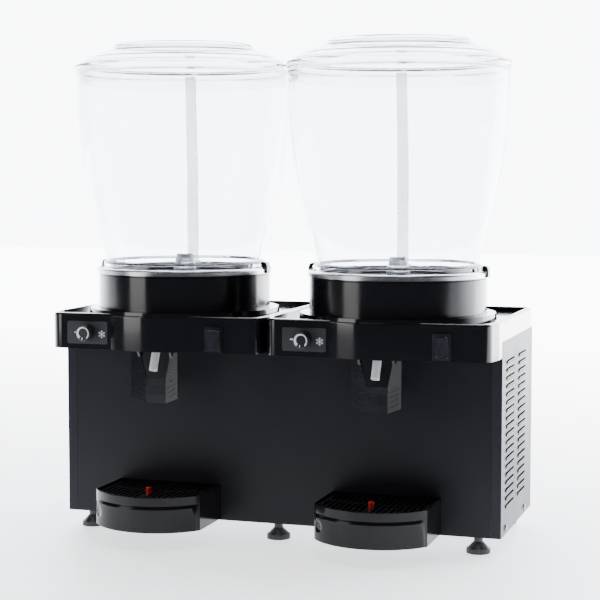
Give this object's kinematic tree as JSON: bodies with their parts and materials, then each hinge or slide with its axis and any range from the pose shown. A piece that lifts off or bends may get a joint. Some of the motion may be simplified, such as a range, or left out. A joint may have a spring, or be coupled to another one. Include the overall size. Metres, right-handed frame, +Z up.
{
  "type": "cold drink dispenser",
  "caption": "Countertop cold drink dispenser: clear lidded bowls with mixers over chilled steel basins, push-lever taps, drip trays and a louvred cooling cabinet.",
  "frame": {"origin": "centre of the overall box on the surface that the feet stand on", "axes": "+Z up; the user stands on the -Y side; +X to the right as seen by the user"},
  "size_m": [0.5632, 0.313, 0.611],
  "materials": {
    "cover_black": "gloss moulded plastic",
    "ring_black": "semi-gloss moulded plastic",
    "front_black": "satin black powder coat on sheet steel",
    "side_black": "satin black powder coat on louvred sheet steel",
    "rear_black": "satin black powder coat on sheet steel",
    "pan_zinc": "zinc plated sheet steel",
    "stainless": "pressed stainless steel with a rolled rim",
    "clear_bowl": "clear moulded polycarbonate",
    "clear_lid": "clear moulded polycarbonate",
    "clear_mixer": "translucent moulded plastic",
    "magnet_steel": "ferrite magnet on a steel shaft",
    "black_clip": "moulded plastic",
    "seal_rubber": "moulded silicone rubber",
    "foam": "closed-cell foam",
    "copper": "drawn copper tube",
    "motor_black": "painted cast case",
    "thermostat_body": "moulded plastic case",
    "dial_black": "fine-textured label plate",
    "knob_black": "moulded plastic",
    "switch_black": "moulded plastic",
    "rocker_black": "moulded plastic",
    "clear_boot": "clear flexible splash cover",
    "white_tap": "white moulded acetal",
    "pin_steel": "stainless pin",
    "white_plunger": "white moulded acetal",
    "lever_black": "gloss moulded plastic",
    "tray_black": "gloss moulded plastic",
    "grille_black": "gloss moulded plastic",
    "float_red": "red moulded plastic",
    "foot_black": "moulded plastic with a steel stud",
    "screw_zinc": "plated steel",
    "compressor_black": "painted pressed steel shell",
    "condenser_fins": "aluminium fins on copper tube",
    "shroud_zinc": "plated sheet steel",
    "fan_plastic": "moulded plastic",
    "gland_black": "moulded nylon"
  },
  "bodies": {
    "cabinet": {"base_pan": "pan_zinc", "basin_insulation": "foam", "basin_left": "stainless", "basin_right": "stainless", "bowl_clips": "black_clip", "bowl_seals": "seal_rubber", "cable_gland": "gland_black", "case_screws": "screw_zinc", "compressor": "compressor_black", "condenser": "condenser_fins", "dial_plates": "dial_black", "evaporator_coils": "copper", "fan_motor": "motor_black", "fan_shroud": "shroud_zinc", "filter_drier": "copper", "front_panel": "front_black", "gear_motors": "motor_black", "lever_pins": "pin_steel", "rear_panel": "rear_black", "refrigerant_tubes": "copper", "ring_housing_left": "ring_black", "ring_housing_right": "ring_black", "side_panel_left": "side_black", "side_panel_right": "side_black", "switch_boots": "clear_boot", "switch_housings": "switch_black", "tap_bodies": "white_tap", "thermostats": "thermostat_body", "top_cover_left": "cover_black", "top_cover_right": "cover_black"},
    "bowl_left_body": {"bowl_left": "clear_bowl"},
    "bowl_right_body": {"bowl_right": "clear_bowl"},
    "drip_tray_left_body": {"drip_tray_left": "tray_black"},
    "drip_tray_right_body": {"drip_tray_right": "tray_black"},
    "drive_magnet_left_body": {"drive_magnet_left": "magnet_steel"},
    "drive_magnet_right_body": {"drive_magnet_right": "magnet_steel"},
    "fan_body": {"fan_blade": "fan_plastic"},
    "foot_front_left_body": {"foot_front_left": "foot_black"},
    "foot_front_middle_body": {"foot_front_middle": "foot_black"},
    "foot_front_right_body": {"foot_front_right": "foot_black"},
    "foot_rear_left_body": {"foot_rear_left": "foot_black"},
    "foot_rear_middle_body": {"foot_rear_middle": "foot_black"},
    "foot_rear_right_body": {"foot_rear_right": "foot_black"},
    "knob_left_body": {"knob_left": "knob_black"},
    "knob_right_body": {"knob_right": "knob_black"},
    "lid_left_body": {"lid_left": "clear_lid"},
    "lid_right_body": {"lid_right": "clear_lid"},
    "rocker_left_body": {"rocker_left": "rocker_black"},
    "rocker_right_body": {"rocker_right": "rocker_black"},
    "stirrer_left_body": {"stirrer_left": "clear_mixer"},
    "stirrer_right_body": {"stirrer_right": "clear_mixer"},
    "tap_lever_left_body": {"tap_lever_left": "lever_black"},
    "tap_lever_right_body": {"tap_lever_right": "lever_black"},
    "tap_plunger_left_body": {"tap_plunger_left": "white_plunger"},
    "tap_plunger_right_body": {"tap_plunger_right": "white_plunger"},
    "tray_float_left_body": {"tray_float_left": "float_red"},
    "tray_float_right_body": {"tray_float_right": "float_red"},
    "tray_grille_left_body": {"tray_grille_left": "grille_black"},
    "tray_grille_right_body": {"tray_grille_right": "grille_black"}
  },
  "joints": [
    {"name": "bowl_lift_left", "type": "slide", "parent": "cabinet", "child": "bowl_left_body", "axis": [0, 0, 1], "range_m": [0, 0.26]},
    {"name": "lid_lift_left", "type": "slide", "parent": "bowl_left_body", "child": "lid_left_body", "axis": [0, 0, 1], "range_m": [0, 0.05]},
    {"name": "magnet_spin_left", "type": "hinge", "parent": "cabinet", "child": "drive_magnet_left_body", "pos_m": [-0.14, 0.0045, 0.28], "axis": [0, 0, 1], "continuous": true},
    {"name": "stirrer_spin_left", "type": "hinge", "parent": "cabinet", "child": "stirrer_left_body", "pos_m": [-0.14, 0.0045, 0.3], "axis": [0, 0, 1], "continuous": true},
    {"name": "thermostat_turn_left", "type": "hinge", "parent": "cabinet", "child": "knob_left_body", "pos_m": [-0.2265, -0.1105, 0.255], "axis": [0, 1, 0], "range_deg": [0, 270]},
    {"name": "switch_rock_left", "type": "hinge", "parent": "cabinet", "child": "rocker_left_body", "pos_m": [-0.06, -0.1015, 0.2515], "axis": [1, 0, 0], "range_deg": [0, 14]},
    {"name": "lever_push_left", "type": "hinge", "parent": "cabinet", "child": "tap_lever_left_body", "pos_m": [-0.14, -0.1025, 0.252], "axis": [1, 0, 0], "range_deg": [0, 12], "stiffness_Nm_per_rad": 0.5, "springref_deg": -5.73},
    {"name": "plunger_lift_left", "type": "slide", "parent": "cabinet", "child": "tap_plunger_left_body", "axis": [0, 0, 1], "range_m": [0, 0.0036]},
    {"name": "tray_pull_left", "type": "slide", "parent": "cabinet", "child": "drip_tray_left_body", "axis": [0, -1, 0], "range_m": [0, 0.13]},
    {"name": "grille_lift_left", "type": "slide", "parent": "drip_tray_left_body", "child": "tray_grille_left_body", "axis": [0, 0, 1], "range_m": [0, 0.05]},
    {"name": "float_rise_left", "type": "slide", "parent": "drip_tray_left_body", "child": "tray_float_left_body", "axis": [0, 0, 1], "range_m": [0, 0.02]},
    {"name": "bowl_lift_right", "type": "slide", "parent": "cabinet", "child": "bowl_right_body", "axis": [0, 0, 1], "range_m": [0, 0.26]},
    {"name": "lid_lift_right", "type": "slide", "parent": "bowl_right_body", "child": "lid_right_body", "axis": [0, 0, 1], "range_m": [0, 0.05]},
    {"name": "magnet_spin_right", "type": "hinge", "parent": "cabinet", "child": "drive_magnet_right_body", "pos_m": [0.14, 0.0045, 0.28], "axis": [0, 0, 1], "continuous": true},
    {"name": "stirrer_spin_right", "type": "hinge", "parent": "cabinet", "child": "stirrer_right_body", "pos_m": [0.14, 0.0045, 0.3], "axis": [0, 0, 1], "continuous": true},
    {"name": "thermostat_turn_right", "type": "hinge", "parent": "cabinet", "child": "knob_right_body", "pos_m": [0.0535, -0.1105, 0.255], "axis": [0, 1, 0], "range_deg": [0, 270]},
    {"name": "switch_rock_right", "type": "hinge", "parent": "cabinet", "child": "rocker_right_body", "pos_m": [0.22, -0.1015, 0.2515], "axis": [1, 0, 0], "range_deg": [0, 14]},
    {"name": "lever_push_right", "type": "hinge", "parent": "cabinet", "child": "tap_lever_right_body", "pos_m": [0.14, -0.1025, 0.252], "axis": [1, 0, 0], "range_deg": [0, 12], "stiffness_Nm_per_rad": 0.5, "springref_deg": -5.73},
    {"name": "plunger_lift_right", "type": "slide", "parent": "cabinet", "child": "tap_plunger_right_body", "axis": [0, 0, 1], "range_m": [0, 0.0036]},
    {"name": "tray_pull_right", "type": "slide", "parent": "cabinet", "child": "drip_tray_right_body", "axis": [0, -1, 0], "range_m": [0, 0.13]},
    {"name": "grille_lift_right", "type": "slide", "parent": "drip_tray_right_body", "child": "tray_grille_right_body", "axis": [0, 0, 1], "range_m": [0, 0.05]},
    {"name": "float_rise_right", "type": "slide", "parent": "drip_tray_right_body", "child": "tray_float_right_body", "axis": [0, 0, 1], "range_m": [0, 0.02]},
    {"name": "foot_turn_front_left", "type": "hinge", "parent": "cabinet", "child": "foot_front_left_body", "pos_m": [-0.251, -0.0375, 0.02], "axis": [0, 0, 1], "continuous": true},
    {"name": "foot_turn_front_middle", "type": "hinge", "parent": "cabinet", "child": "foot_front_middle_body", "pos_m": [0, -0.0375, 0.02], "axis": [0, 0, 1], "continuous": true},
    {"name": "foot_turn_front_right", "type": "hinge", "parent": "cabinet", "child": "foot_front_right_body", "pos_m": [0.251, -0.0375, 0.02], "axis": [0, 0, 1], "continuous": true},
    {"name": "foot_turn_rear_left", "type": "hinge", "parent": "cabinet", "child": "foot_rear_left_body", "pos_m": [-0.251, 0.1355, 0.02], "axis": [0, 0, 1], "continuous": true},
    {"name": "foot_turn_rear_middle", "type": "hinge", "parent": "cabinet", "child": "foot_rear_middle_body", "pos_m": [0, 0.1355, 0.02], "axis": [0, 0, 1], "continuous": true},
    {"name": "foot_turn_rear_right", "type": "hinge", "parent": "cabinet", "child": "foot_rear_right_body", "pos_m": [0.251, 0.1355, 0.02], "axis": [0, 0, 1], "continuous": true},
    {"name": "fan_spin", "type": "hinge", "parent": "cabinet", "child": "fan_body", "pos_m": [0.13, 0.0785, 0.158], "axis": [0, 1, 0], "continuous": true}
  ],
  "couplings": [
    {"joint": "stirrer_spin_left", "follows": "magnet_spin_left", "ratio": 1},
    {"joint": "plunger_lift_left", "follows": "lever_push_left", "m_per_rad": 0.016},
    {"joint": "stirrer_spin_right", "follows": "magnet_spin_right", "ratio": 1},
    {"joint": "plunger_lift_right", "follows": "lever_push_right", "m_per_rad": 0.016}
  ]
}
